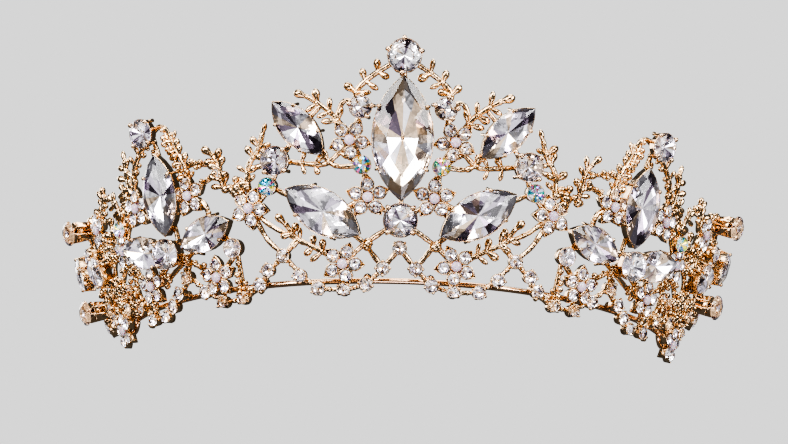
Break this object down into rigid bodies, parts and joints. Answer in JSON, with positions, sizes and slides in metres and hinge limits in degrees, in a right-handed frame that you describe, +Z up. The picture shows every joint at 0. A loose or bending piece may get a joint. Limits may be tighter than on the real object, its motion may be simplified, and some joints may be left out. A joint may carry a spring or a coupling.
{
  "type": "tiara",
  "caption": "Flared half-round bridal tiara: openwork gold castings with claw-set crystals, soldered round a headband wire.",
  "frame": {"origin": "on the surface that the tiara stands on, under the middle of its box", "axes": "+Z up from the standing surface, +X towards the wearer's left when seen from the front (right in a front view), -Y towards the front"},
  "size_m": [0.1536, 0.0922, 0.051],
  "materials": {
    "casting": "polished warm rose-gold plate over a cast alloy",
    "headband_wire": "drawn wire, polished rose-gold plate",
    "claw_cup": "stamped cup, bright rose-gold plate",
    "crystal": "clear cut glass with a foiled back",
    "aurora_crystal": "cut glass with an iridescent coating"
  },
  "bodies": {
    "root": {"headband_wire": "headband_wire", "centre_panel": "casting", "centre_marquise": "crystal", "top_round": "crystal", "base_round": "crystal", "top_round_cup": "claw_cup", "base_round_cup": "claw_cup", "left_side_panel": "casting", "left_end_panel": "casting", "left_crest_round": "crystal", "left_wing_round": "crystal", "left_upper_marquise": "crystal", "left_lower_marquise": "crystal", "left_peak_round": "crystal", "left_upright_marquise": "crystal", "left_inner_leaf_marquise": "crystal", "left_outer_leaf_marquise": "crystal", "left_bud_round": "crystal", "left_seam_round": "crystal", "left_end_peak_round": "crystal", "left_end_outer_marquise": "crystal", "left_end_inner_marquise": "crystal", "left_end_small_round": "crystal", "left_end_base_round": "crystal", "left_inner_aurora": "aurora_crystal", "left_outer_aurora": "aurora_crystal", "left_side_aurora": "aurora_crystal", "left_crest_round_cup": "claw_cup", "left_wing_round_cup": "claw_cup", "left_peak_round_cup": "claw_cup", "left_bud_round_cup": "claw_cup", "left_end_peak_round_cup": "claw_cup", "left_end_base_round_cup": "claw_cup", "right_side_panel": "casting", "right_end_panel": "casting", "right_crest_round": "crystal", "right_wing_round": "crystal", "right_upper_marquise": "crystal", "right_lower_marquise": "crystal", "right_peak_round": "crystal", "right_upright_marquise": "crystal", "right_inner_leaf_marquise": "crystal", "right_outer_leaf_marquise": "crystal", "right_bud_round": "crystal", "right_seam_round": "crystal", "right_end_peak_round": "crystal", "right_end_outer_marquise": "crystal", "right_end_inner_marquise": "crystal", "right_end_small_round": "crystal", "right_end_base_round": "crystal", "right_inner_aurora": "aurora_crystal", "right_outer_aurora": "aurora_crystal", "right_side_aurora": "aurora_crystal", "right_crest_round_cup": "claw_cup", "right_wing_round_cup": "claw_cup", "right_peak_round_cup": "claw_cup", "right_bud_round_cup": "claw_cup", "right_end_peak_round_cup": "claw_cup", "right_end_base_round_cup": "claw_cup"}
  },
  "joints": []
}
